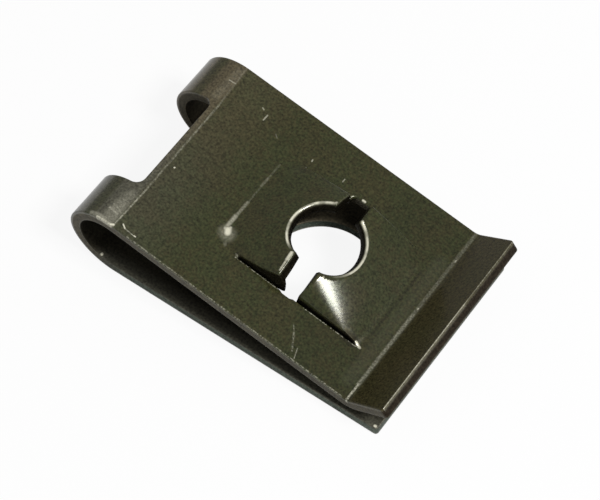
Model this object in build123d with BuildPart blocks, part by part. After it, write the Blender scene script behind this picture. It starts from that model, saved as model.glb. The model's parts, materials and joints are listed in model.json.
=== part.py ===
from build123d import *
from math import asin, cos, radians, sin
import os

# U clip speed nut, punched and folded from one strip of spring steel. Millimetres, +Z up.
# The clip lies on its lower leaf. The origin is on the underside of that leaf, on the axis of its
# clearance hole. +X points to the open end, where the edge of a panel enters between the leaves,
# and a screw comes up through the clearance hole into the thread impression of the upper leaf.

# Strip
clip_width = 12.7
sheet_thickness = 0.7
corner_radius = 0.2  # at the free ends of the strip

# Fold, leaves and lip
fold_radius = 2.73  # outside of the fold
leaf_convergence = 12.5  # degrees by which the upper leaf closes on the lower one
screw_setback = 9.8  # axis of the fold to the clearance hole
lower_leaf_length = 18.1  # axis of the fold to the free end
upper_leaf_length = 15.65  # end of the fold to the bend of the lip
lip_bend_radius = 0.7  # on the upper face
lip_turn = 45.3  # degrees
lip_length = 2.45

# Notch through the fold, which leaves an ear on each side
notch_width = 6.8
notch_depth = 2.9  # outside of the fold to the bottom of the notch
notch_corner_radius = 0.55

# Clearance hole of the lower leaf
clearance_hole_diameter = 6.54

# Thread impression of the upper leaf: two arms, lanced free at their sides and bent up
impression_setback = 9.78  # end of the fold to the screw's axis
impression_length = 10.0  # root of one arm to the root of the other
impression_width = 6.8  # lance line to lance line
lance_gap = 0.05
thread_hole_diameter = 4.0
slot_width = 1.2
slot_length = 7.3
pierce_shift = 0.12  # of the hole and the slot towards +Y
rim_rounding = 0.2  # of the thread hole's upper edge

# Each arm is twisted to the lead of the thread. Its tip follows one curve, and these are the heights
# over the leaf of the curve's controls: the leading corner, the crown, the shoulder from which the
# other corner curls down, and that corner.
fold_arm_rises = (1.42, 2.0, 1.75, 0.85)
lip_arm_rises = (1.25, 1.55, 1.85, 0.42)
crown_offset = 1.0  # screw's axis to the crown at the tip, across the clip
shoulder_offset = 2.0  # screw's axis to the shoulder at the tip, across the clip
shoulder_runout = 0.3  # side of the arm to the end of the shoulder at the root

# Working values
fold_axis_x = -screw_setback
closing = radians(leaf_convergence)
lip_pitch = radians(lip_turn - leaf_convergence)  # of the lip over the lower leaf
lip_thickness_axis = Axis((0, 0, 0), (-sin(lip_pitch), 0, cos(lip_pitch)))
arm_half_width = impression_width / 2 - lance_gap
arm_length = (impression_length - slot_width) / 2  # before it is bent up

upper_face = Plane(
    origin=(fold_axis_x + fold_radius * sin(closing), 0, fold_radius * (1 + cos(closing))),
    x_dir=(cos(closing), 0, -sin(closing)),
    z_dir=(sin(closing), 0, cos(closing)),
)
screw_plane = Plane(
    origin=upper_face.from_local_coords((impression_setback, 0, 0)),
    x_dir=upper_face.x_dir,
    z_dir=upper_face.z_dir,
)
turned_screw_plane = Plane(
    origin=screw_plane.origin, x_dir=-screw_plane.x_dir, z_dir=screw_plane.z_dir
)


def strip_outline(controls):
    """Curves of the upper and lower faces across an arm, with the ends that join them."""
    upper = Bezier(*controls)
    lower = Bezier(*[point - Vector(0, sheet_thickness) for point in controls])
    Line(upper @ 0, lower @ 0)
    Line(upper @ 1, lower @ 1)


def bent_arm(plane, rises):
    """One arm of the impression: plane lies on the leaf at the screw's axis, +X from root to tip."""
    middle_rise = (rises[0] + rises[-1]) / 2
    slope = asin(middle_rise / arm_length)
    arm_plane = Plane(
        origin=plane.from_local_coords((-impression_length / 2, 0, 0)),
        x_dir=plane.x_dir * cos(slope) + plane.z_dir * sin(slope),
        z_dir=plane.z_dir * cos(slope) - plane.x_dir * sin(slope),
    )
    root = Plane(origin=arm_plane.origin, x_dir=plane.y_dir, z_dir=plane.x_dir)
    tip = Plane(
        origin=arm_plane.from_local_coords((arm_length, 0, 0)),
        x_dir=arm_plane.y_dir,
        z_dir=arm_plane.x_dir,
    )
    shoulder_end = arm_half_width - shoulder_runout
    root_places = (-arm_half_width, -crown_offset, shoulder_end, arm_half_width)
    tip_places = (-arm_half_width, -crown_offset, shoulder_offset, arm_half_width)
    with BuildPart() as arm:
        with BuildSketch(root):
            with BuildLine():
                strip_outline([Vector(place, 0) for place in root_places])
            make_face()
        with BuildSketch(tip):
            with BuildLine():
                heights = [(rise - middle_rise) / cos(slope) for rise in rises]
                strip_outline([Vector(*control) for control in zip(tip_places, heights)])
            make_face()
        loft(ruled=True)
    return arm.part


with BuildPart() as speed_nut:
    # The folded strip, drawn along its outside
    with BuildSketch(Plane.XZ):
        with BuildLine():
            lower_leaf = Line((fold_axis_x + lower_leaf_length, 0), (fold_axis_x, 0))
            fold = JernArc(lower_leaf @ 1, lower_leaf % 1, fold_radius, -180 - leaf_convergence)
            upper_leaf = PolarLine(fold @ 1, upper_leaf_length, direction=fold % 1)
            lip_bend = JernArc(upper_leaf @ 1, upper_leaf % 1, lip_bend_radius, lip_turn)
            PolarLine(lip_bend @ 1, lip_length, direction=lip_bend % 1)
            offset(amount=sheet_thickness, side=Side.RIGHT)
        make_face()
    extrude(amount=clip_width / 2, both=True)
    lower_corners = speed_nut.edges().filter_by(Axis.Z)
    lip_corners = speed_nut.edges().filter_by(lip_thickness_axis)
    fillet(lower_corners + lip_corners, corner_radius)

    # Notch
    with BuildSketch(Plane.XY):
        with Locations((fold_axis_x - fold_radius, 0)):
            notch = Rectangle(2 * notch_depth, notch_width)
        fillet(notch.vertices().group_by(Axis.X)[-1], notch_corner_radius)
    extrude(amount=3 * fold_radius, mode=Mode.SUBTRACT)

    # Clearance hole
    with BuildSketch(Plane.XY):
        Circle(clearance_hole_diameter / 2)
    extrude(amount=sheet_thickness, mode=Mode.SUBTRACT)

    # Window in the upper leaf, with the two arms in it
    with BuildSketch(screw_plane):
        Rectangle(impression_length, impression_width)
        with Locations((0, pierce_shift)):
            SlotOverall(slot_length, slot_width, rotation=90)
    extrude(amount=-sheet_thickness, mode=Mode.SUBTRACT)
    add(bent_arm(screw_plane, fold_arm_rises))
    add(bent_arm(turned_screw_plane, lip_arm_rises))

    # Thread hole through both arms, with its upper edge rounded
    with BuildSketch(screw_plane.offset(-sheet_thickness)):
        with Locations((0, pierce_shift)):
            Circle(thread_hole_diameter / 2)
    extrude(amount=2 * sheet_thickness + max(fold_arm_rises + lip_arm_rises), mode=Mode.SUBTRACT)
    rims = speed_nut.edges(Select.LAST).filter_by(lambda edge: edge.length > thread_hole_diameter)
    fillet(rims.sort_by(Axis(screw_plane.origin, screw_plane.z_dir))[-2:], rim_rounding)

speed_nut.part.label = "speed_nut"
os.makedirs("parts", exist_ok=True)
export_step(speed_nut.part, "parts/speed_nut.step")
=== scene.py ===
import json
import logging
import math
from dataclasses import dataclass, field
from enum import Enum
from functools import reduce
from typing import Any, Iterable, Mapping, Sequence, Union

import bmesh
import bpy
import numpy as np
from mathutils import Matrix, Vector
from mathutils.geometry import delaunay_2d_cdt
from mathutils.kdtree import KDTree

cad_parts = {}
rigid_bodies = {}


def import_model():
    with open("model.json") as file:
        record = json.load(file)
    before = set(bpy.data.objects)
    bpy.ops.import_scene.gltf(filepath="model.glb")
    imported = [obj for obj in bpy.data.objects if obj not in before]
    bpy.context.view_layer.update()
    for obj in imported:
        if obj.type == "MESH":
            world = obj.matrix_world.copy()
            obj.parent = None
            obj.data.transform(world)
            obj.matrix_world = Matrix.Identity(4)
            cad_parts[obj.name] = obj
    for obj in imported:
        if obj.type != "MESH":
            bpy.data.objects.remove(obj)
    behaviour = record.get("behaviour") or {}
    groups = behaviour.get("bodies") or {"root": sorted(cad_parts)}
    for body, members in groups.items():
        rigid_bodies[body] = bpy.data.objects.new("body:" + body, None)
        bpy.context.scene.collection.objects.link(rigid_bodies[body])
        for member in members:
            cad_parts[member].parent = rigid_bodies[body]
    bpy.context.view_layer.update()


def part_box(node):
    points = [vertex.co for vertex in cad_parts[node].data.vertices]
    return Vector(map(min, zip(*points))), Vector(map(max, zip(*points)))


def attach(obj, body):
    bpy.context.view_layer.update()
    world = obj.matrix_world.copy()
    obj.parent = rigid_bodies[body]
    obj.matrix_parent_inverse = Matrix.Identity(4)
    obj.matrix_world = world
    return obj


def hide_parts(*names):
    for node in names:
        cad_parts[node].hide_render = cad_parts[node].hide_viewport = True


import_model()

log = logging.getLogger("u_clip_speed_nut")

Triple = tuple[float, float, float]
Socket = bpy.types.NodeSocket
Operand = Union["Signal", float]
Points = np.ndarray

MM_PER_METRE = 1000.0
TINY = 1e-6
HALVINGS = 30  # of the range in which a place on an arm's curve is searched
HOLE_SAMPLES = 120  # round the clearance hole, and a third as many on each half of the thread hole

# Places that the shape and the finish share, in millimetres from the start of the upper leaf
FOLD_ARM_ROOT = 4.78
SCREW = 9.78
LIP_ARM_ROOT = 14.78
LIP_BEND = 15.9  # middle of the bend
LIP_FLAT = 16.2
LIP_END = 18.6
PIERCE_SHIFT = 0.12  # of the hole and the slot, across the strip


class MathOp(Enum):
    """Operations of a Math node that the finishes use."""

    ADD = "ADD"
    SUBTRACT = "SUBTRACT"
    MULTIPLY = "MULTIPLY"
    POWER = "POWER"
    ABSOLUTE = "ABSOLUTE"
    MAXIMUM = "MAXIMUM"


class Signal:
    """One number that varies over a surface, with Python's arithmetic.

    An expression on signals adds the Math nodes that work it out.
    """

    def __init__(self, graph: "Graph", socket: Socket) -> None:
        """Wraps an output socket of a graph's node."""
        self.graph = graph
        self.socket = socket

    def _math(self, op: MathOp, *terms: Operand) -> "Signal":
        """Adds one Math node with its inputs in order."""
        return self.graph.signal("ShaderNodeMath", {"operation": op.value}, dict(enumerate(terms)))

    def __add__(self, other: Operand) -> "Signal":
        """Sum."""
        return self._math(MathOp.ADD, self, other)

    def __radd__(self, other: Operand) -> "Signal":
        """Sum with a number on the left."""
        return self._math(MathOp.ADD, other, self)

    def __sub__(self, other: Operand) -> "Signal":
        """Difference."""
        return self._math(MathOp.SUBTRACT, self, other)

    def __rsub__(self, other: Operand) -> "Signal":
        """Difference with a number on the left."""
        return self._math(MathOp.SUBTRACT, other, self)

    def __mul__(self, other: Operand) -> "Signal":
        """Product."""
        return self._math(MathOp.MULTIPLY, self, other)

    def __rmul__(self, other: Operand) -> "Signal":
        """Product with a number on the left."""
        return self._math(MathOp.MULTIPLY, other, self)

    def __pow__(self, other: Operand) -> "Signal":
        """Power."""
        return self._math(MathOp.POWER, self, other)

    def __abs__(self) -> "Signal":
        """Size without the sign."""
        return self._math(MathOp.ABSOLUTE, self)

    def at_least(self, other: Operand) -> "Signal":
        """The larger of the two."""
        return self._math(MathOp.MAXIMUM, self, other)

    def rise(self, start: float, end: float) -> "Signal":
        """Fades smoothly from 0 where this is at start to 1 where it is at end.

        Args:
            start: Value that gives 0.
            end: Value that gives 1, which may be the smaller of the two.

        Returns:
            The mask.
        """
        if end < start:
            return 1 - self.rise(end, start)
        return self.graph.signal(
            "ShaderNodeMapRange",
            {"interpolation_type": "SMOOTHSTEP"},
            {"Value": self, "From Min": start, "From Max": end},
        )


class Graph:
    """The node graph of a material or of the world."""

    def __init__(self, owner: Union[bpy.types.Material, bpy.types.World]) -> None:
        """Gives a material or the world an empty graph.

        Args:
            owner: The material or the world.
        """
        owner.use_nodes = True
        self.tree = owner.node_tree
        self.tree.nodes.clear()

    def node(
        self, kind: str, settings: Mapping[str, Any], sockets: Mapping[Union[str, int], Any]
    ) -> bpy.types.Node:
        """Adds one node.

        Args:
            kind: The node's type.
            settings: Its own settings, set first.
            sockets: Values or links of its inputs, by name or place.

        Returns:
            The node.
        """
        made = self.tree.nodes.new(kind)
        for name, value in settings.items():
            setattr(made, name, value)
        for name, value in sockets.items():
            target = made.inputs[name]
            if isinstance(value, Signal):
                value = value.socket
            if isinstance(value, Socket):
                self.tree.links.new(value, target)
            else:
                target.default_value = value
        return made

    def signal(
        self,
        kind: str,
        settings: Mapping[str, Any],
        sockets: Mapping[Union[str, int], Any],
        output: Union[str, int] = 0,
    ) -> Signal:
        """Adds one node and wraps one of its outputs, by name or place."""
        return Signal(self, self.node(kind, settings, sockets).outputs[output])

    def noise(self, place: Socket, scale: float, detail: float = 2.0) -> Signal:
        """Adds cloudy noise with so many blotches in a metre, about 0.5 on average."""
        sockets = {"Vector": place, "Scale": scale, "Detail": detail, "Roughness": 0.55}
        return self.signal("ShaderNodeTexNoise", {"normalize": True}, sockets)

    def blend(self, amount: Operand, first: Any, second: Any) -> Socket:
        """Mixes two colours.

        Args:
            amount: 0 gives the first colour and 1 the second.
            first: Colour or colour socket.
            second: Colour or colour socket.

        Returns:
            The mixed colour.
        """
        first, second = ((*c, 1.0) if isinstance(c, tuple) else c for c in (first, second))
        sockets = {0: amount, 6: first, 7: second}
        return self.node("ShaderNodeMix", {"data_type": "RGBA"}, sockets).outputs[2]


@dataclass(frozen=True)
class Sheet:
    """Places on the clip's sheet that a finish can use, in millimetres."""

    along: Signal  # from the start of the upper leaf towards the lip
    across: Signal  # from the strip's middle, less than 0 at its near side
    depth: Signal  # under the outer face, up to 0.7 on the inner one
    edge: Signal  # to the nearest cut

    @staticmethod
    def read(graph: Graph) -> "Sheet":
        """Reads the places that the mesh carries."""
        kind, names = "ShaderNodeAttribute", ("along", "across", "depth", "edge")
        return Sheet(*(graph.signal(kind, {"attribute_name": name}, {}, "Fac") for name in names))

    def outside(self) -> Signal:
        """1 on the outer face, 0 on cuts and on the inner face."""
        return self.depth.rise(0.3, 0.12)

    def cut_face(self) -> Signal:
        """1 on the cut faces."""
        return self.depth.rise(0.1, 0.2) * self.depth.rise(0.66, 0.6)

    def inside_impression(self) -> Signal:
        """1 between the lances."""
        return abs(self.across).rise(3.7, 3.55) * abs(self.along - SCREW).rise(5.3, 5.1)


@dataclass(frozen=True)
class StraightMark:
    """A straight mark in the coat's colour, in millimetres: rubbed coat, painted highlights and
    glints, and painted shade.
    """

    start: tuple[float, float]  # along and across
    end: tuple[float, float]
    half_width: float
    strength: float  # share of the coat that it takes off
    broken: float  # how strongly it marks the coat, from 0 to 1

    def mask(self, sheet: Sheet, specks: Signal) -> Signal:
        """Marks the sheet.

        Args:
            sheet: Places on the sheet.
            specks: Noise that breaks the mark up.

        Returns:
            Share of the coat that is gone.
        """
        run, rise = self.end[0] - self.start[0], self.end[1] - self.start[1]
        length = math.hypot(run, rise)
        run, rise = run / length, rise / length
        along = sheet.along - (self.start[0] + self.end[0]) / 2
        across = sheet.across - (self.start[1] + self.end[1]) / 2
        beyond = (abs(along * run + across * rise) - length / 2).at_least(0.0)
        aside = across * run - along * rise
        away = (beyond * beyond + aside * aside) ** 0.5
        mark_amount = away.rise(1.5 * self.half_width, 0.3 * self.half_width) * self.strength
        return mark_amount * (1.0 - self.broken + self.broken * specks)


def strongest(coat_marks: Iterable[StraightMark], sheet: Sheet, specks: Signal) -> Signal:
    """Lays marks over each other and gives the strength of the strongest."""
    return reduce(Signal.at_least, (each_mark.mask(sheet, specks) for each_mark in coat_marks))


@dataclass(frozen=True)
class SpringSteel:
    """Hardened spring steel with a dark, oiled phosphate coat, on which highlights, glints, sheen
    and shade are painted.

    Its fades are in millimetres on the sheet, and its noises in blotches in a metre.
    """

    name: str = "spring_steel"
    green: Triple = (0.040, 0.0455, 0.0165)  # the two tones of the mottled coat
    brown: Triple = (0.046, 0.0425, 0.0165)
    grey: Triple = (0.100, 0.096, 0.070)  # worn coat and painted reflection over the fold, and painted sheen on the upper leaf, at the strip's near side
    tan: Triple = (0.108, 0.089, 0.052)  # and at its far side
    lip_brown: Triple = (0.066, 0.052, 0.021)
    cut_colour: Triple = (0.076, 0.067, 0.044)
    lower_cut_colour: Triple = (0.085, 0.104, 0.080)  # cut faces of the lower leaf
    darkened_end_cut_colour: Triple = (0.038, 0.029, 0.019)  # cut face at the end of the lip, painted darker as shade
    shade_tint: Triple = (0.026, 0.022, 0.014)  # painted shade on the impression's walls, the inner face, the creases and a mark on the lip arm
    # bare steel where the coat is rubbed through, and the colour of painted highlights and glints
    bare_and_highlight_colour: Triple = (0.86, 0.83, 0.66)
    metallic: float = 0.2
    roughness: float = 0.2
    matt: float = 0.35  # roughness that the dull, shaded parts and the cut faces add
    uneven_gloss: float = 0.1
    relief: float = 0.2
    relief_depth: float = 0.00001  # metres
    blotches: float = 500.0
    rim_blotches: float = 1500.0
    fine_mottling: float = 4800.0
    grain: float = 7200.0
    specks: float = 9000.0
    leaf_sheen: float = 0.3  # painted sheen at the start of the upper leaf
    # Grey over the fold: coat worn by bending, and a painted reflection
    fold_wear_and_sheen: float = 0.62
    rim_highlight: float = 0.9  # painted highlight round the thread hole's rim
    # Rubbed coat, painted highlights and painted glints, by place
    coat_marks: tuple[StraightMark, ...] = (
        # Start of the upper leaf, and the near and the far ear: rubbed coat, and painted
        # highlights along the crease and the near edge
        StraightMark((0.0, -6.3), (0.06, -3.5), 0.05, 0.4, 0.7),
        StraightMark((0.06, -3.5), (0.0, 3.4), 0.06, 0.24, 0.75),
        StraightMark((0.0, 3.4), (-0.2, 6.3), 0.06, 0.13, 0.7),
        StraightMark((-0.5, -6.15), (-0.45, -5.0), 0.45, 0.2, 0.5),
        StraightMark((-0.45, -5.0), (-0.4, -4.2), 0.4, 0.14, 0.6),
        StraightMark((-1.6, -6.2), (-0.6, -6.15), 0.14, 0.3, 0.4),
        StraightMark((-0.5, 3.8), (-0.4, 5.8), 0.3, 0.07, 0.6),
        StraightMark((-0.85, -5.45), (-0.26, -5.55), 0.08, 0.42, 0.4),
        StraightMark((-0.8, -5.15), (-0.25, -5.3), 0.07, 0.3, 0.4),
        StraightMark((-0.54, -4.64), (-0.29, -4.61), 0.05, 0.25, 0.5),
        StraightMark((-0.5, -4.2), (-0.3, -4.2), 0.05, 0.18, 0.5),
        StraightMark((-1.1, -6.28), (-0.1, -6.3), 0.08, 0.75, 0.5),
        StraightMark((-0.15, -6.28), (-0.02, -6.2), 0.07, 1.0, 0.0),
        StraightMark((0.38, -5.84), (0.6, -5.98), 0.04, 0.9, 0.1),
        StraightMark((0.6, -5.98), (1.3, -6.03), 0.03, 0.45, 0.6),
        StraightMark((1.25, -6.01), (1.35, -6.01), 0.035, 0.9, 0.0),
        StraightMark((0.44, -1.33), (0.45, -1.31), 0.045, 0.9, 0.0),
        # Root of the fold arm: painted highlights along its bend, and a painted highlight at its
        # near corner
        StraightMark((4.86, 2.6), (4.86, -0.4), 0.06, 0.1, 0.7),
        StraightMark((4.86, 1.5), (4.84, 0.9), 0.08, 0.16, 0.5),
        StraightMark((4.86, -0.4), (4.84, -2.4), 0.1, 0.26, 0.5),
        StraightMark((4.84, -1.5), (4.84, -2.4), 0.13, 0.42, 0.3),
        StraightMark((5.03, -2.44), (5.12, -2.58), 0.2, 1.0, 0.0),
        StraightMark((4.85, -2.45), (5.06, -2.28), 0.11, 0.75, 0.2),
        StraightMark((5.0, -2.6), (5.22, -2.66), 0.42, 0.22, 0.4),
        StraightMark((5.2, -2.9), (5.45, -3.25), 0.1, 0.12, 0.5),
        # Bend of the lip: rubbed coat with a painted highlight along the bend, and a broad painted
        # sheen beside it
        StraightMark((LIP_BEND, -6.3), (LIP_BEND, -5.2), 0.07, 0.7, 0.7),
        StraightMark((LIP_BEND, -5.2), (LIP_BEND, 0.0), 0.12, 0.27, 0.6),
        StraightMark((LIP_BEND, 0.0), (LIP_BEND, 6.3), 0.12, 0.15, 0.6),
        StraightMark((15.35, -5.2), (15.35, 3.5), 0.45, 0.022, 0.4),
        StraightMark((15.92, 0.44), (15.92, 0.5), 0.04, 0.6, 0.0),
        StraightMark((15.93, 4.1), (15.93, 4.2), 0.04, 0.5, 0.0),
        # End of the lip: painted highlight along its edge
        StraightMark((18.63, -6.2), (18.63, 1.5), 0.02, 0.6, 0.4),
        StraightMark((18.63, 1.5), (18.63, 6.2), 0.02, 0.3, 0.6),
        # Near side of the leaf, and the near lances: painted highlights along the cut edges, and a
        # painted glint at the lip arm's lance end
        StraightMark((1.0, -6.3), (15.6, -6.3), 0.04, 0.3, 0.9),
        StraightMark((6.3, -3.48), (9.2, -3.5), 0.03, 0.4, 1.0),
        StraightMark((10.9, -3.5), (14.5, -3.5), 0.03, 0.5, 1.0),
        StraightMark((6.3, -3.38), (6.6, -3.42), 0.04, 0.25, 0.5),
        StraightMark((14.35, -3.3), (14.7, -3.42), 0.08, 0.8, 0.4),
        # Slot and thread hole: painted highlights on the rounded edges, and painted glints
        StraightMark((9.02, -1.95), (9.04, -2.4), 0.09, 1.0, 0.15),
        StraightMark((9.04, -2.4), (9.07, -3.1), 0.055, 0.8, 0.3),
        StraightMark((10.6, -2.2), (10.75, -1.85), 0.06, 0.45, 0.4),
        StraightMark((9.75, 3.86), (9.9, 3.86), 0.06, 0.9, 0.1),
        StraightMark((10.38, 3.6), (10.4, 3.7), 0.06, 0.9, 0.1),
        # Scratches and specks
        StraightMark((11.1, -4.6), (11.6, -5.2), 0.035, 0.2, 0.8),
        StraightMark((11.35, -4.9), (11.95, -5.9), 0.05, 0.22, 0.8),
        StraightMark((12.1, -5.6), (12.3, -6.2), 0.03, 0.3, 0.5),
        StraightMark((2.0, 4.85), (2.12, 4.8), 0.04, 0.4, 0.2),
        StraightMark((3.55, 4.0), (3.75, 3.85), 0.03, 0.15, 0.2),
        StraightMark((2.48, 4.27), (2.49, 4.65), 0.045, 0.45, 0.3),
        StraightMark((-0.52, 5.06), (-0.10, 5.07), 0.04, 0.4, 0.3),
        StraightMark((6.1, 4.05), (6.12, 3.95), 0.04, 0.5, 0.2),
        StraightMark((8.2, 4.25), (8.2, 4.05), 0.035, 0.4, 0.2),
    )
    # Painted shade: dark lines in the creases where the arms bend up
    crease_shades: tuple[StraightMark, ...] = (
        StraightMark((LIP_ARM_ROOT, -2.6), (LIP_ARM_ROOT, 2.4), 0.09, 0.5, 0.3),
        StraightMark((4.68, -2.4), (4.68, 2.6), 0.06, 0.25, 0.2),
    )
    # Painted shade on the lip arm near its lance end, which cuts its highlight short
    painted_shade_mark: StraightMark = StraightMark((13.65, -3.32), (14.25, -3.36), 0.3, 0.9, 0.2)
    # Painted glints on the inner face's near edge
    painted_glints: tuple[StraightMark, ...] = (
        StraightMark((-7.99, -6.22), (-7.95, -6.22), 0.09, 1.0, 0.0),
        StraightMark((-27.1, -6.2), (-27.06, -6.2), 0.08, 1.0, 0.0),
    )

    def _wear_and_highlights(self, graph: Graph, sheet: Sheet, place: Socket) -> Signal:
        """Finds where the coat is rubbed through, and where highlights and glints are painted on.

        Args:
            graph: Graph to add the nodes to.
            sheet: Places on the sheet.
            place: Coordinates in metres.

        Returns:
            Share of bare metal colour: worn coat and painted highlights.
        """
        specks = graph.noise(place, self.specks).rise(0.42, 0.62)
        rubbed_and_highlit = strongest(self.coat_marks, sheet, specks)
        from_slot = sheet.along - SCREW
        from_axis_squared = from_slot**2.0 + (sheet.across - PIERCE_SHIFT) ** 2.0
        # Painted highlight round the thread hole's rounded rim, left off the slot and off the lip
        # arm's near corner
        rim = from_axis_squared.rise(5.2, 4.6) * abs(sheet.edge - 0.11).rise(0.09, 0.02)
        uneven = 0.45 + 0.55 * graph.noise(place, self.rim_blotches, 1.0).rise(0.4, 0.6)
        off_slot = (abs(from_slot) + 0.35 * sheet.across).rise(0.2, 1.1)
        off_near_corner = sheet.along.rise(9.9, 9.7).at_least(sheet.across.rise(-1.7, -0.6))
        painted_rim = self.rim_highlight * rim * uneven * off_slot * off_near_corner
        painted_glints = strongest(self.painted_glints, sheet, specks) * sheet.depth.rise(0.5, 0.66)
        return (rubbed_and_highlit.at_least(painted_rim) * sheet.outside()).at_least(painted_glints)

    def _shaded_parts(self, sheet: Sheet, noise: Signal) -> Signal:
        """Finds the dull parts that are painted dark as shade: the walls of the impression, the
        inner face, which is lighter near the lower leaf's cuts and sides, and a mark on the lip
        arm.

        Args:
            sheet: Places on the sheet.
            noise: Noise that breaks up the painted shade mark on the lip arm.

        Returns:
            1 where the sheet is dull and painted dark as shade.
        """
        # Painted shade on the walls of the impression
        walls = sheet.inside_impression() * sheet.depth.rise(0.08, 0.2)
        # Painted shade on the inner face, deep inside the clip, lighter near the lower leaf's cuts
        # and sides
        by_cuts = 0.5 * sheet.edge.rise(0.4, 0.0)
        by_sides = 0.8 * abs(sheet.across).rise(5.2, 6.3)
        on_lower_leaf = sheet.along.rise(-7.0, -9.0)
        inner_face = sheet.depth.rise(0.64, 0.69)
        inner = (0.87 - by_cuts.at_least(by_sides) * on_lower_leaf) * inner_face
        return walls.at_least(inner).at_least(self.painted_shade_mark.mask(sheet, noise))

    def _coat(self, graph: Graph, sheet: Sheet, place: Socket, grain: Signal) -> Socket:
        """Mottles the coat, greys it over the fold with wear and a painted reflection, paints a
        sheen at the start of the upper leaf, and paints shade on the impression's walls, the inner
        face and the creases.

        Args:
            graph: Graph to add the nodes to.
            sheet: Places on the sheet.
            place: Coordinates in metres.
            grain: Fine noise.

        Returns:
            The coat's colour.
        """
        blotches = graph.noise(place, self.blotches)
        fine = graph.noise(place, self.fine_mottling)
        mottling = (0.5 * blotches + 0.5 * fine).rise(0.4, 0.6)
        colour = graph.blend(mottling, self.green, self.brown)
        # A band across the fold is kept dark: a painted reflection of shade
        off_reflected_shade = abs(sheet.along + 1.75).rise(0.2, 0.55)
        # Painted sheen over the start of the upper leaf
        sheen_on_leaf = self.leaf_sheen * sheet.along.rise(4.6, 0.0)
        mark_amount = sheen_on_leaf + self.fold_wear_and_sheen * sheet.along.rise(0.05, -0.2) * off_reflected_shade
        worn_and_sheen_coat = graph.blend(sheet.across.rise(-3.5, 3.5), self.grey, self.tan)
        colour = graph.blend(mark_amount, colour, worn_and_sheen_coat)
        colour = graph.blend(0.6 * sheet.along.rise(LIP_BEND, LIP_FLAT), colour, self.lip_brown)
        cut = graph.blend(sheet.along.rise(-7.0, -11.0), self.cut_colour, self.lower_cut_colour)
        cut = graph.blend(sheet.along.rise(18.4, LIP_END), cut, self.darkened_end_cut_colour)
        colour = graph.blend(sheet.cut_face(), colour, cut)
        # Painted shade in the creases, on the impression's walls and on the inner face
        crease_shades = strongest(self.crease_shades, sheet, fine) * sheet.outside()
        shade_mask = self._shaded_parts(sheet, fine).at_least(crease_shades)
        colour = graph.blend(shade_mask, colour, self.shade_tint)
        darker_lip_side = 1.0 - 0.13 * sheet.along.rise(10.0, 12.5)
        shade = (2.4 * grain - 0.2).at_least(0.4) * darker_lip_side
        scale = {"operation": "SCALE"}
        return graph.node("ShaderNodeVectorMath", scale, {0: colour, "Scale": shade}).outputs[0]

    def material(self) -> bpy.types.Material:
        """Builds the finish.

        Returns:
            The material.
        """
        made = bpy.data.materials.new(self.name)
        graph = Graph(made)
        sheet = Sheet.read(graph)
        place = graph.node("ShaderNodeTexCoord", {}, {}).outputs["Object"]
        grain = graph.noise(place, self.grain)
        bare_and_highlit = self._wear_and_highlights(graph, sheet, place)
        dull_shade = self._shaded_parts(sheet, grain)
        matt = dull_shade.at_least(sheet.depth.rise(0.1, 0.2))
        relief = {"Strength": self.relief, "Distance": self.relief_depth, "Height": grain}
        coat = self._coat(graph, sheet, place, grain)
        # The painted shade and the cut faces are made fully metallic, which darkens them further
        fully_metallic = dull_shade.at_least(sheet.cut_face())
        shader = graph.node(
            "ShaderNodeBsdfPrincipled",
            {},
            {
                "Base Color": graph.blend(bare_and_highlit, coat, self.bare_and_highlight_colour),
                "Metallic": self.metallic + (1.0 - self.metallic) * fully_metallic,
                "Roughness": self.roughness + self.uneven_gloss * (grain - 0.5) + self.matt * matt,
                "Normal": graph.node("ShaderNodeBump", {}, relief).outputs[0],
            },
        )
        graph.node("ShaderNodeOutputMaterial", {}, {"Surface": shader.outputs[0]})
        return made


def add_object(name: str, data: bpy.types.ID) -> bpy.types.Object:
    """Adds an object to the scene.

    Args:
        name: Its name.
        data: Its mesh, lamp or camera.

    Returns:
        The object.
    """
    made = bpy.data.objects.new(name, data)
    bpy.context.scene.collection.objects.link(made)
    return made


@dataclass(frozen=True)
class Corner:
    """One corner of an outline in the flat blank, in millimetres."""

    along: float
    across: float
    radius: float = 0.0
    rounding: float = 0.06  # of the outer face's edge there, by punching


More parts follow.
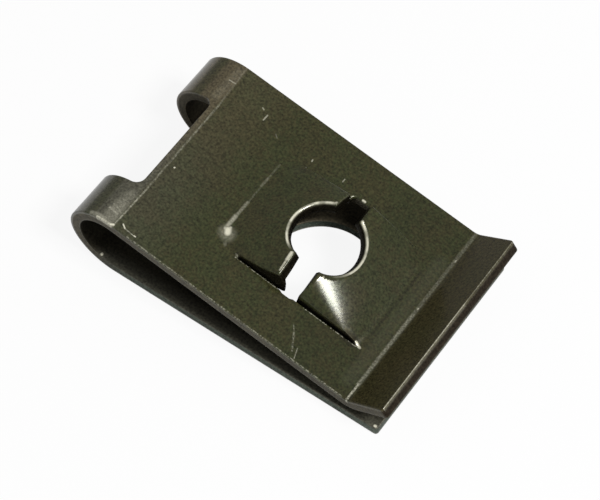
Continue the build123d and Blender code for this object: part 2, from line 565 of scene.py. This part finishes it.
@dataclass(frozen=True)
class Outline:
    """A closed line of cuts in the flat blank."""

    corners: tuple[Corner, ...]
    spacing: float = 0.22  # most millimetres between samples on a straight cut
    arc_step: float = 0.22  # most radians between samples round a corner

    def samples(self) -> Points:
        """Walks round the outline.

        Returns:
            Rows of along, across and rounding.
        """
        arcs = [self._corner_points(place) for place in range(len(self.corners))]
        rows: list[Points] = []
        for arc, following in zip(arcs, arcs[1:] + arcs[:1]):
            rows.extend(arc)
            gap = following[0] - arc[-1]
            steps = max(1, math.ceil(float(np.hypot(gap[0], gap[1])) / self.spacing))
            rows.extend(arc[-1] + gap * step / steps for step in range(1, steps))
        return np.array(rows)

    def _corner_points(self, place: int) -> list[Points]:
        """Rounds one corner.

        Args:
            place: Which corner.

        Returns:
            Points on its arc, or the corner itself.
        """
        here = self.corners[place]
        corner = np.array([here.along, here.across])
        if here.radius == 0.0:
            return [np.array([*corner, here.rounding])]
        before, after = self.corners[place - 1], self.corners[(place + 1) % len(self.corners)]
        back = np.array([before.along, before.across]) - corner
        ahead = np.array([after.along, after.across]) - corner
        back, ahead = back / np.hypot(*back), ahead / np.hypot(*ahead)
        opening = math.acos(float(np.clip(back @ ahead, -1.0, 1.0)))
        middle = (back + ahead) / np.hypot(*(back + ahead))
        centre = corner + middle * here.radius / math.sin(opening / 2)
        start = corner + back * here.radius / math.tan(opening / 2) - centre
        turn = math.pi - opening
        side = math.copysign(1.0, float(back[1] * ahead[0] - back[0] * ahead[1]))
        steps = max(2, math.ceil(turn / self.arc_step))
        points = []
        for step in range(steps + 1):
            angle = side * turn * step / steps
            cosine, sine = math.cos(angle), math.sin(angle)
            along = centre[0] + (cosine * start[0] - sine * start[1])
            across = centre[1] + (sine * start[0] + cosine * start[1])
            points.append(np.array([along, across, here.rounding]))
        return points


def unit(rows: Points) -> Points:
    """Rows of vectors, each brought to a length of 1."""
    return rows / np.linalg.norm(rows, axis=1)[:, None]


def smooth_step(value: Points, low: float, high: float) -> Points:
    """Fades from 0 at low to 1 at high."""
    share = np.clip((value - low) / (high - low), 0.0, 1.0)
    return share * share * (3.0 - 2.0 * share)


def round_over(distance: Points, radius: Points) -> Points:
    """Drop below the face of an edge with that rounding, at a distance from the cut."""
    inward = np.clip(radius - distance, 0.0, radius)
    return radius - np.sqrt(radius * radius - inward * inward)


@dataclass(frozen=True)
class Strip:
    """Course of the strip's outer face, in millimetres along it from the lower leaf's free end."""

    fold_axis: float = -9.8  # X of the axis of the fold
    lower_leaf: float = 18.1  # axis of the fold to the lower leaf's free end
    fold_radius: float = 2.73
    closing: float = math.radians(12.5)  # of the upper leaf on the lower one
    upper_leaf: float = 15.65
    bend_radius: float = 0.7  # of the lip
    lip_turn: float = math.radians(45.3)
    lip: float = 2.45

    @property
    def free_end(self) -> float:
        """X of the lower leaf's free end."""
        return self.fold_axis + self.lower_leaf

    @property
    def fold_start(self) -> float:
        """Where the fold starts."""
        return self.free_end - self.fold_axis

    @property
    def leaf_start(self) -> float:
        """Where the upper leaf starts."""
        return self.fold_start + self.fold_radius * (math.pi + self.closing)

    @property
    def bend_start(self) -> float:
        """Where the bend of the lip starts."""
        return self.leaf_start + self.upper_leaf

    @property
    def lip_start(self) -> float:
        """Where the flat of the lip starts."""
        return self.bend_start + self.bend_radius * self.lip_turn

    @property
    def length(self) -> float:
        """Length of the flat blank."""
        return self.lip_start + self.lip

    @property
    def leaf_axes(self) -> tuple[Points, Points]:
        """Direction along the upper leaf and its upward normal, as x and z."""
        cosine, sine = math.cos(self.closing), math.sin(self.closing)
        return np.array([cosine, -sine]), np.array([sine, cosine])

    def place(self, along: Points) -> Points:
        """Folds the strip.

        Args:
            along: Places along the strip.

        Returns:
            Rows of x and z.
        """
        run, rise = self.leaf_axes
        angle = (along - self.fold_start) / self.fold_radius
        axis = np.array([self.fold_axis, self.fold_radius])
        leaf = axis + self.fold_radius * rise
        bend = leaf + self.upper_leaf * run
        turn = (along - self.bend_start) / self.bend_radius
        cosine, sine = math.cos(self.lip_turn), math.sin(self.lip_turn)
        end_run = cosine * run + sine * rise
        end = bend + self.bend_radius * (rise + sine * run - cosine * rise)
        lower = np.stack([self.free_end - along, 0.0 * along], 1)
        fold = axis - self.fold_radius * np.stack([np.sin(angle), np.cos(angle)], 1)
        upper = leaf + np.outer(along - self.leaf_start, run)
        curve = bend + self.bend_radius * (
            rise + np.outer(np.sin(turn), run) - np.outer(np.cos(turn), rise)
        )
        tail = end + np.outer(along - self.lip_start, end_run)
        marks = (self.fold_start, self.leaf_start, self.bend_start, self.lip_start)
        pieces = (lower, fold, upper, curve, tail)
        which = np.searchsorted(np.array(marks), along, side="right")
        return np.choose(which[:, None], pieces)


@dataclass(frozen=True)
class Arm:
    """One lanced arm of the thread impression, in millimetres."""

    root: float  # from the start of the upper leaf
    heading: int  # 1 towards the lip, -1 towards the fold
    rises: tuple[float, ...]  # at the tip: leading corner, crown, shoulder and curled corner
    sag: float  # of the leading side under a straight line, as a share of its height
    cuts: tuple[float, float]  # root to the lances, on the leading and on the curled side
    length: float = 4.4  # in the flat
    half_width: float = 3.38
    crown: float = 1.0  # from the arm's middle
    shoulder: float = 2.0  # from the arm's middle, at the tip
    runout: float = 0.3  # arm's side to the end of the shoulder, at the root
    bend: float = 0.22  # half the length of the soft bend at the root
    curl_start: float = 0.0  # share of the arm, from its root, that isn't curled

    def bent(self, along: Points, across: Points) -> tuple[Points, Points]:
        """Bends the arm up.

        Args:
            along: Millimetres from the start of the upper leaf, in the flat.
            across: Millimetres across the strip.

        Returns:
            Places along the leaf, and heights over it.
        """
        reach = np.maximum((along - self.root) * self.heading, 0.0)
        side = across * self.heading
        share = reach / self.length
        middle = (self.rises[0] + self.rises[3]) / 2
        slope = math.asin(middle / self.length)
        tip = [(rise - middle) / math.cos(slope) for rise in self.rises]
        local = self._crown_height(share, side, tip)
        soft, straight = reach * reach / (4 * self.bend), reach - self.bend
        eased = np.where(reach < 2 * self.bend, soft, straight)
        eased = eased * self.length / (self.length - self.bend)
        ease = eased / np.maximum(reach, TINY)
        height = (reach * math.sin(slope) + local * math.cos(slope)) * ease
        leading = smooth_step(-side, 1.0, self.half_width)
        half_way = 4.0 * share * (1.0 - np.minimum(share, 1.0))
        height *= 1.0 - self.sag * leading * half_way
        height *= self._freedom(reach, side)
        run = reach * math.cos(slope) - local * math.sin(slope)
        return self.root + self.heading * run, height

    def _crown_height(self, share: Points, side: Points, tip: Sequence[float]) -> Points:
        """Height of the crowned section over the arm's own plane.

        Args:
            share: Places from the root, 0, to the tip, 1.
            side: Places across the arm.
            tip: Heights of the tip's controls.

        Returns:
            Heights.
        """
        past_tip = 1.05
        share = np.minimum(share, past_tip)
        curled = np.clip((share - self.curl_start) / (1.0 - self.curl_start), 0.0, past_tip)
        ends = (-self.half_width, -self.crown, self.half_width - self.runout, self.half_width)
        tips = (-self.half_width, -self.crown, self.shoulder, self.half_width)
        shares = (share, share, curled, share)
        places = [(1 - part) * a + part * b for part, a, b in zip(shares, ends, tips)]
        heights = [share * height for height in tip]
        if self.curl_start > 0.0:
            lifted = np.sin(np.minimum(share / self.curl_start, 1.0) * math.pi / 2) - share
            heights[3] = heights[3] + self.rises[3] * lifted
        side = np.clip(side, -self.half_width, self.half_width)
        low, high = np.zeros_like(side), np.ones_like(side)
        for _ in range(HALVINGS):
            half = (low + high) / 2
            under = self._curve(places, half) < side
            low, high = np.where(under, half, low), np.where(under, high, half)
        return self._curve(heights, (low + high) / 2)

    @staticmethod
    def _curve(controls: Sequence[Any], t: Points) -> Points:
        """Follows a cubic curve.

        Args:
            controls: Its four controls.
            t: Places on it, from 0 to 1.

        Returns:
            Values there.
        """
        u = 1 - t
        a, b, c, d = controls
        return u**3 * a + 3 * u * u * t * b + 3 * u * t * t * c + t**3 * d

    def _freedom(self, reach: Points, side: Points) -> Points:
        """Share of its height that the sheet reaches, less near the ends of the lances.

        Args:
            reach: Distances from the root.
            side: Places across the arm.

        Returns:
            Shares.
        """
        share = np.ones_like(side)
        for sign, cut in zip((-1, 1), self.cuts):
            held_width = 0.55 + 0.35 * cut
            inner = smooth_step(self.half_width - sign * side, 0.0, held_width)
            free = smooth_step(reach, cut - 0.6, cut + 0.4)
            share = share * (1.0 - (1.0 - free) * (1.0 - inner))
        return share


class Blank:
    """The flat blank, cut along its outlines and divided into triangles.

    Attributes:
        points: Rows of along and across.
        triangles: Rows of three points.
        loops: Points round each outline.
        edge: Millimetres from each point to the nearest cut.
        rounding: Rounding of the nearest cut.
        rings: Distances of the rows of points beside a cut, as shares of its rounding.
        clearance: Least distance from a cut to the points of the grid.
    """

    rings: tuple[float, ...] = (0.3, 1.0, 1.7)
    clearance: float = 0.2

    def __init__(self, outlines: Sequence[Outline], grid: Points) -> None:
        """Cuts and divides the blank.

        Args:
            outlines: The outside first, then the holes.
            grid: Points wanted inside, as rows of along and across.
        """
        cuts = [outline.samples() for outline in outlines]
        border = np.concatenate(cuts)
        spaced_grid = np.column_stack([grid, np.full(len(grid), self.clearance)])
        inner = np.concatenate([self._ring_points(cuts), spaced_grid])
        gap, _ = self._nearest(inner[:, :2], border)
        keep = (gap >= 0.93 * inner[:, 2]) & self._inside(inner[:, :2], cuts)
        corners = np.concatenate([border[:, :2], inner[keep, :2]])
        edges, first = [], 0
        for cut in cuts:
            order = range(first, first + len(cut))
            edges += [(here, here + 1 if here + 1 < first + len(cut) else first) for here in order]
            first += len(cut)
        out = delaunay_2d_cdt([Vector(point) for point in corners], edges, [], 1, TINY)
        self.points = np.array([tuple(point) for point in out[0]])
        faces = np.array([face for face in out[2] if len(face) == 3])
        centres = self.points[faces].mean(axis=1)
        self.triangles = faces[self._inside(centres, cuts)]
        found = {source: place for place, sources in enumerate(out[3]) for source in sources}
        self.loops, first = [], 0
        for cut in cuts:
            self.loops.append([found[source] for source in range(first, first + len(cut))])
            first += len(cut)
        self.edge, nearest = self._nearest(self.points, border)
        self.rounding = border[nearest, 2]

    def _ring_points(self, cuts: Sequence[Points]) -> Points:
        """Points beside the cuts, where their edges round over.

        Args:
            cuts: Samples of each outline.

        Returns:
            Rows of along, across and distance from the cut.
        """
        rows = []
        for cut in cuts:
            tangent = unit(np.roll(cut[:, :2], -1, 0) - np.roll(cut[:, :2], 1, 0))
            normal = np.column_stack([-tangent[:, 1], tangent[:, 0]])
            for share in self.rings:
                away = share * cut[:, 2:3]
                rows += [np.hstack([cut[:, :2] + side * away * normal, away]) for side in (-1, 1)]
        return np.concatenate(rows)

    @staticmethod
    def _nearest(points: Points, border: Points) -> tuple[Points, Points]:
        """Finds the nearest sample of the cuts.

        Args:
            points: Rows of along and across.
            border: Samples of the cuts.

        Returns:
            Distance to it, and which it is.
        """
        tree = KDTree(len(border))
        for place, (along, across, _) in enumerate(border):
            tree.insert((along, across, 0.0), place)
        tree.balance()
        found = [tree.find((along, across, 0.0)) for along, across in points]
        return np.array([hit[2] for hit in found]), np.array([hit[1] for hit in found])

    @staticmethod
    def _inside(points: Points, cuts: Sequence[Points]) -> Points:
        """Tells which points are on the sheet.

        Args:
            points: Rows of along and across.
            cuts: Samples of each outline.

        Returns:
            True for those inside the outside and outside the holes.
        """
        crossings = np.zeros(len(points), int)
        along, across = points[:, 0], points[:, 1]
        for cut in cuts:
            for (x0, y0), (x1, y1) in zip(cut[:, :2], np.roll(cut[:, :2], -1, 0)):
                if y0 == y1:
                    continue
                spans = (across >= min(y0, y1)) & (across < max(y0, y1))
                crossings += spans & (x0 + (across - y0) * (x1 - x0) / (y1 - y0) > along)
        return crossings % 2 == 1


@dataclass
class SpeedNut:
    """The clip: one strip of spring steel, pierced, lanced and folded. In millimetres."""

    node: str = "speed_nut"
    thickness: float = 0.7
    corner_radius: float = 0.2
    lower_rounding: float = 0.05  # most by which the inner face's edges are rounded
    wall_rows: tuple[float, ...] = (0.35, 0.7)  # shares of the depth where cut faces are divided
    burr: float = 0.95  # greatest height under the fold arm's near side
    lip_arm_burr: float = 0.25
    notch_half_width: float = 3.4
    notch: tuple[float, float] = (17.93, 26.85)  # start and end along the blank
    notch_radius: float = 0.55
    clearance_radius: float = 3.27
    hole_radius: float = 2.0
    slot_half_width: float = 0.6
    slot_ends: tuple[float, float] = (-3.53, 3.77)
    lance: float = 3.405  # middle of the strip to the middle of a lance
    lance_gap: float = 0.045  # half the width of a lance
    lance_rounding: float = 0.04
    rim_rounding: float = 0.2
    fold_arm: Arm = Arm(FOLD_ARM_ROOT, 1, (1.42, 2.0, 1.75, 0.85), 0.28, (1.6, 1.3))
    lip_arm: Arm = Arm(
        LIP_ARM_ROOT,
        -1,
        (1.25, 1.55, 1.85, 0.42),
        0.0,
        (1.1, 0.4),
        shoulder=2.75,
        runout=0.01,
        curl_start=0.3,
    )
    strip: Strip = Strip()
    finish: SpringSteel = SpringSteel()
    half_width: float = field(init=False)

    def __post_init__(self) -> None:
        """Takes the strip's width from the solid."""
        low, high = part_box(self.node)
        self.half_width = MM_PER_METRE * (high[1] - low[1]) / 2

    @staticmethod
    def _rectangle(start: float, end: float, side: float, radius: float) -> Outline:
        """Draws a rectangle on the middle of the blank.

        Args:
            start: Where it starts along the blank.
            end: Where it ends along the blank.
            side: Half its width.
            radius: Radius of its corners.

        Returns:
            The outline.
        """
        places = ((start, -side), (end, -side), (end, side), (start, side))
        return Outline(tuple(Corner(*place, radius) for place in places), spacing=0.13)

    def _clearance_hole(self) -> Outline:
        """Draws the clearance hole of the lower leaf.

        Returns:
            The outline.
        """
        turns = np.linspace(0.0, 2 * math.pi, HOLE_SAMPLES, endpoint=False)
        middle, radius = self.strip.free_end, self.clearance_radius
        places = ((middle + radius * math.cos(turn), radius * math.sin(turn)) for turn in turns)
        return Outline(tuple(Corner(*place) for place in places))

    def _hole_side(self, heading: int) -> list[Corner]:
        """Draws half of the thread hole.

        Args:
            heading: 1 for the half on the side of the lip, -1 for the half on the fold's side.

        Returns:
            Its corners, in order round the impression.
        """
        opening = math.asin(self.slot_half_width / self.hole_radius)
        limit = math.pi / 2 - opening
        turns = heading * np.linspace(-limit, limit, HOLE_SAMPLES // 3)
        start = self.strip.leaf_start + SCREW
        corners = [
            Corner(
                start + heading * self.hole_radius * math.cos(turn),
                PIERCE_SHIFT + self.hole_radius * math.sin(turn),
                0.0,
                self.rim_rounding,
            )
            for turn in turns
        ]
        for end in (0, -1):
            corner = corners[end]
            corners[end] = Corner(corner.along, corner.across, 0.08, 0.14)
        return corners

    def _impression(self) -> Outline:
        """Draws the lances, the slot and the thread hole, which are one cut.

        Returns:
            The outline.
        """
        fold, lip = self.fold_arm, self.lip_arm
        near, far = self.slot_ends
        start = self.strip.leaf_start
        left = start + SCREW - self.slot_half_width
        right = start + SCREW + self.slot_half_width
        outer, inner = self.lance + self.lance_gap, self.lance - self.lance_gap
        tight, sharp = self.lance_gap * 0.9, self.lance_rounding
        lances = (
            start + fold.root + fold.cuts[0],
            start + lip.root - lip.cuts[1],
            start + lip.root - lip.cuts[0],
            start + fold.root + fold.cuts[1],
        )
        return Outline(
            (
                # Near side, with the rounded end of the slot
                Corner(lances[0], -outer, tight, sharp),
                Corner(left + 0.15, -outer, 0.1, sharp),
                Corner(left + 0.35, near, 0.15, 0.05),
                Corner(right - 0.35, near, 0.15, 0.05),
                Corner(right - 0.15, -outer, 0.1, sharp),
                Corner(lances[1], -outer, tight, sharp),
                Corner(lances[1], -inner, tight, sharp),
                Corner(right, -inner, 0.1, 0.1),
                *self._hole_side(1),
                # Far side, with the square end of the slot
                Corner(right, inner, 0.1, 0.1),
                Corner(lances[2], inner, tight, sharp),
                Corner(lances[2], outer, tight, sharp),
                Corner(right, outer, 0.03, sharp),
                Corner(right - 0.05, far, 0.25, 0.12),
                Corner(left + 0.05, far, 0.25, 0.12),
                Corner(left, outer, 0.03, sharp),
                Corner(lances[3], outer, tight, sharp),
                Corner(lances[3], inner, tight, sharp),
                Corner(left, inner, 0.1, 0.1),
                *self._hole_side(-1),
                Corner(left, -inner, 0.1, 0.1),
                Corner(lances[0], -inner, tight, sharp),
            ),
            spacing=0.12,
            arc_step=0.5,
        )

    def _grid(self) -> Points:
        """Points that divide the sheet, closer together where it bends.

        Returns:
            Rows of along and across.
        """
        strip, rows = self.strip, []
        # Start and end of each zone, and the spacing along and across the strip
        zones = (
            (0.0, strip.fold_start, 0.42, 0.42),
            (strip.fold_start, strip.leaf_start + 0.3, 0.2, 0.35),
            (strip.leaf_start + 0.3, strip.leaf_start + 4.3, 0.35, 0.35),
            (strip.leaf_start + 4.3, strip.leaf_start + 15.2, 0.17, 0.17),
            (strip.leaf_start + 15.2, strip.lip_start + 0.2, 0.07, 0.25),
            (strip.lip_start + 0.2, strip.length, 0.3, 0.35),
        )
        for start, end, step, pitch in zones:
            for count, along in enumerate(np.arange(start, end, step)):
                first = -self.half_width + pitch * (count % 2) / 2
                across = np.arange(first, self.half_width, pitch)
                rows.append(np.column_stack([np.full(len(across), along), across]))
        return np.concatenate(rows)

    def _face(self, along: Points, across: Points, arm: Points) -> Points:
        """Folds the strip and bends its arms.

        Args:
            along: Places along the blank.
            across: Places across it.
            arm: 0 for the leaves, 1 for the fold arm and 2 for the lip arm.

        Returns:
            Rows of x, y and z on the upper face, in millimetres.
        """
        flat = self.strip.place(along)
        run, rise = self.strip.leaf_axes
        just_inside = 1e-9
        start = self.strip.place(np.array([self.strip.leaf_start + just_inside]))[0]
        for which, shape in ((1, self.fold_arm), (2, self.lip_arm)):
            here = arm == which
            reach, height = shape.bent(along[here] - self.strip.leaf_start, across[here])
            flat[here] = start + np.outer(reach, run) + np.outer(height, rise)
        return np.column_stack([flat[:, 0], across, flat[:, 1]])

    def _which_arm(self, along: Points, across: Points) -> Points:
        """Tells the arms from the leaves.

        Args:
            along: Places along the blank.
            across: Places across it.

        Returns:
            0 for the leaves, 1 for the fold arm and 2 for the lip arm.
        """
        place = along - self.strip.leaf_start
        between = np.abs(across) < self.lance
        fold = between & (place > self.fold_arm.root) & (place < SCREW)
        lip = between & (place < self.lip_arm.root) & (place > SCREW)
        return fold * 1 + lip * 2

    def _solid_points(self, along: Points, across: Points, depth: Points) -> Points:
        """Places points of the sheet in space.

        Args:
            along: Places along the blank.
            across: Places across it.
            depth: Depths under the upper face.

        Returns:
            Rows of x, y and z in metres.
        """
        arm, step = self._which_arm(along, across), 0.01
        run = self._face(along + step, across, arm) - self._face(along - step, across, arm)
        side = self._face(along, across + step, arm) - self._face(along, across - step, arm)
        normal = unit(np.cross(run, side))
        # The arms' sides stay in line with the lances, so nothing opens beside them
        normal[:, 1] *= 1.0 - np.where(arm > 0, smooth_step(np.abs(across), 2.2, 3.2), 0.0)
        points = self._face(along, across, arm) - depth[:, None] * unit(normal)
        return points / MM_PER_METRE

    def build(self) -> bpy.types.Object:
        """Builds the clip and dresses it.

        Returns:
            The clip.
        """
        outlines = (
            self._rectangle(0.0, self.strip.length, self.half_width, self.corner_radius),
            self._rectangle(*self.notch, self.notch_half_width, self.notch_radius),
            self._clearance_hole(),
            self._impression(),
        )
        blank = Blank(outlines, self._grid())
        along, across = blank.points.T
        count = len(along)
        top = round_over(blank.edge, blank.rounding)
        low = round_over(blank.edge, np.minimum(blank.rounding, self.lower_rounding))
        low = low - self._burr(blank)
        sheets = [(along, across, top), (along, across, self.thickness - low)]
        faces = [*blank.triangles, *(count + blank.triangles[:, ::-1])]
        first = 2 * count
        for loop in blank.loops:
            ring = np.array(loop)
            rows = [ring]
            for share in self.wall_rows:
                depth = top[ring] + share * (self.thickness - low[ring] - top[ring])
                sheets.append((along[ring], across[ring], depth))
                rows.append(np.arange(first, first + len(ring)))
                first += len(ring)
            rows.append(ring + count)
            for upper, lower in zip(rows, rows[1:]):
                faces += zip(upper, np.roll(upper, -1), np.roll(lower, -1), lower)
        flat = np.concatenate([np.column_stack(sheet) for sheet in sheets])
        mesh = bpy.data.meshes.new("clip_body")
        corners = [tuple(map(int, face)) for face in faces]
        mesh.from_pydata(self._solid_points(*flat.T).tolist(), [], corners)
        self._tag(mesh, flat, blank)
        return self._finish_body(mesh)

    def _burr(self, blank: Blank) -> Points:
        """Height of the burr that lancing drew down along the arms' sides at the front.

        Args:
            blank: The flat blank.

        Returns:
            Heights.
        """
        along, across = blank.points.T
        near_side, width = -self.lance + 0.2, 0.1
        arm = np.where(across < near_side, self._which_arm(along, across), 0)
        reach = along - self.strip.leaf_start - self.fold_arm.root
        growing, tip = smooth_step(reach, 1.8, 4.3), smooth_step(reach, 4.6, 4.1)
        fold = (arm == 1) * self.burr * (growing * tip)
        lip = (arm == 2) * self.lip_arm_burr
        return (fold + lip) * np.clip(1.0 - blank.edge / width, 0.0, 1.0)

    def _tag(self, mesh: bpy.types.Mesh, flat: Points, blank: Blank) -> None:
        """Keeps each point's place in the blank, which the finish uses.

        Args:
            mesh: The clip's mesh.
            flat: Rows of along, across and depth.
            blank: The flat blank.
        """
        edge = np.zeros(len(flat))
        count = len(blank.points)
        edge[:count] = edge[count : 2 * count] = blank.edge
        values = {
            "along": flat[:, 0] - self.strip.leaf_start,
            "across": flat[:, 1],
            "depth": flat[:, 2],
            "edge": edge,
        }
        for name, numbers in values.items():
            layer = mesh.attributes.new(name, "FLOAT", "POINT")
            layer.data.foreach_set("value", numbers.astype(np.float32))

    def _finish_body(self, mesh: bpy.types.Mesh) -> bpy.types.Object:
        """Turns the faces outwards, and puts the clip in the frame with its finish.

        Args:
            mesh: The clip's mesh.

        Returns:
            The clip.
        """
        work = bmesh.new()
        work.from_mesh(mesh)
        bmesh.ops.recalc_face_normals(work, faces=work.faces)
        work.to_mesh(mesh)
        work.free()
        mesh.polygons.foreach_set("use_smooth", [True] * len(mesh.polygons))
        mesh.materials.append(self.finish.material())
        body = add_object("clip_body", mesh)
        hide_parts(self.node)
        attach(body, "root")
        log.info("clip_body: %d points, %d faces", len(mesh.vertices), len(mesh.polygons))
        return body


def camera_rays(graph: Graph) -> Signal:
    """1 for the camera's own rays, so that only they see a plain white background, else 0."""
    return graph.signal("ShaderNodeLightPath", {}, {}, "Is Camera Ray")


@dataclass(frozen=True)
class PaleTable:
    """Matt, nearly white table top."""

    name: str = "pale_table"
    colour: Triple = (0.9, 0.9, 0.9)
    plain_white: float = 0.9  # share of what the camera sees

    def material(self) -> bpy.types.Material:
        """Builds the finish.

        Returns:
            The material.
        """
        made = bpy.data.materials.new(self.name)
        graph = Graph(made)
        matt = graph.node("ShaderNodeBsdfDiffuse", {}, {"Color": (*self.colour, 1.0)}).outputs[0]
        white = graph.node("ShaderNodeEmission", {}, {"Strength": 1.0}).outputs[0]
        share = self.plain_white * camera_rays(graph)
        mixed = graph.node("ShaderNodeMixShader", {}, {0: share, 1: matt, 2: white}).outputs[0]
        graph.node("ShaderNodeOutputMaterial", {}, {"Surface": mixed})
        return made


@dataclass
class Studio:
    """A plain pale table under soft light. In metres."""

    table_size: float = 1.2
    table_finish: PaleTable = PaleTable()
    world_level: float = 0.38  # strength of the light from all round
    lamp_direction: Triple = (0.62, 0.01, 0.79)  # from the clip
    lamp_distance: float = 0.35
    lamp_size: float = 0.09
    lamp_radiance: float = 42.0

    def table(self) -> bpy.types.Object:
        """Builds the table top.

        Returns:
            The table top.
        """
        half = self.table_size / 2
        mesh = bpy.data.meshes.new("table_top")
        corners = [(-half, -half, 0), (half, -half, 0), (half, half, 0), (-half, half, 0)]
        mesh.from_pydata(corners, [], [(0, 1, 2, 3)])
        mesh.materials.append(self.table_finish.material())
        top = add_object("table_top", mesh)
        return top

    def world(self) -> bpy.types.World:
        """Lights the scene evenly from all round, and shows white where the table ends.

        Returns:
            The world.
        """
        made = bpy.data.worlds.new("soft_surround")
        graph = Graph(made)
        level = self.world_level + (1.0 - self.world_level) * camera_rays(graph)
        light = graph.node("ShaderNodeBackground", {}, {"Strength": level})
        graph.node("ShaderNodeOutputWorld", {}, {"Surface": light.outputs[0]})
        bpy.context.scene.world = made
        return made

    def lamp(self) -> bpy.types.Object:
        """Hangs one soft square lamp that faces the clip.

        Returns:
            The lamp.
        """
        data = bpy.data.lights.new("key_softbox", "AREA")
        data.size = self.lamp_size
        data.energy = self.lamp_radiance * math.pi * self.lamp_size * self.lamp_size
        lamp = add_object("key_softbox", data)
        direction = Vector(self.lamp_direction).normalized()
        lamp.location = self.lamp_distance * direction
        lamp.rotation_euler = direction.to_track_quat("Z", "Y").to_euler()
        return lamp

    def build(self) -> None:
        """Builds the table, the world and the lamp, and reports each."""
        for made in (self.table(), self.world(), self.lamp()):
            log.info("%s: ready", made.name)


@dataclass(frozen=True)
class ViewPoint:
    """Where the clip is looked at from. In metres and degrees."""

    target: Triple = (-0.0018, 0.0, 0.0015)
    azimuth: float = 39.167
    elevation: float = 59.134
    roll: float = -3.936
    distance: float = 0.123517
    slide: tuple[float, float] = (0.000388, -0.000152)  # to the camera's right and upwards
    lens: float = 132.18  # millimetres, as the sensor is
    sensor: float = 36.0
    clipping: tuple[float, float] = (0.005, 10.0)

    def camera(self) -> bpy.types.Object:
        """Sets up the camera.

        Returns:
            The camera.
        """
        turn, tilt, roll = map(math.radians, (self.azimuth, self.elevation, self.roll))
        level = Vector((math.cos(turn), math.sin(turn), 0.0))
        flat = math.cos(tilt)
        back = Vector((math.sin(turn) * flat, -math.cos(turn) * flat, math.sin(tilt)))
        right = math.cos(roll) * level + math.sin(roll) * back.cross(level)
        up = back.cross(right)
        data = bpy.data.cameras.new("camera")
        data.lens = self.lens
        data.sensor_width = self.sensor
        data.clip_start, data.clip_end = self.clipping
        camera = add_object("camera", data)
        camera.matrix_world = Matrix((right, up, back)).transposed().to_4x4()
        shift = self.slide[0] * right + self.slide[1] * up
        camera.location = Vector(self.target) + self.distance * back + shift
        bpy.context.scene.camera = camera
        log.info("camera: ready")
        return camera


def main() -> None:
    """Builds the scene and reports each piece."""
    logging.basicConfig(level=logging.INFO, format="%(name)s: %(message)s")
    bpy.context.scene.view_settings.view_transform = "Standard"
    SpeedNut().build()
    Studio().build()
    ViewPoint().camera()


if __name__ == "__main__":
    main()
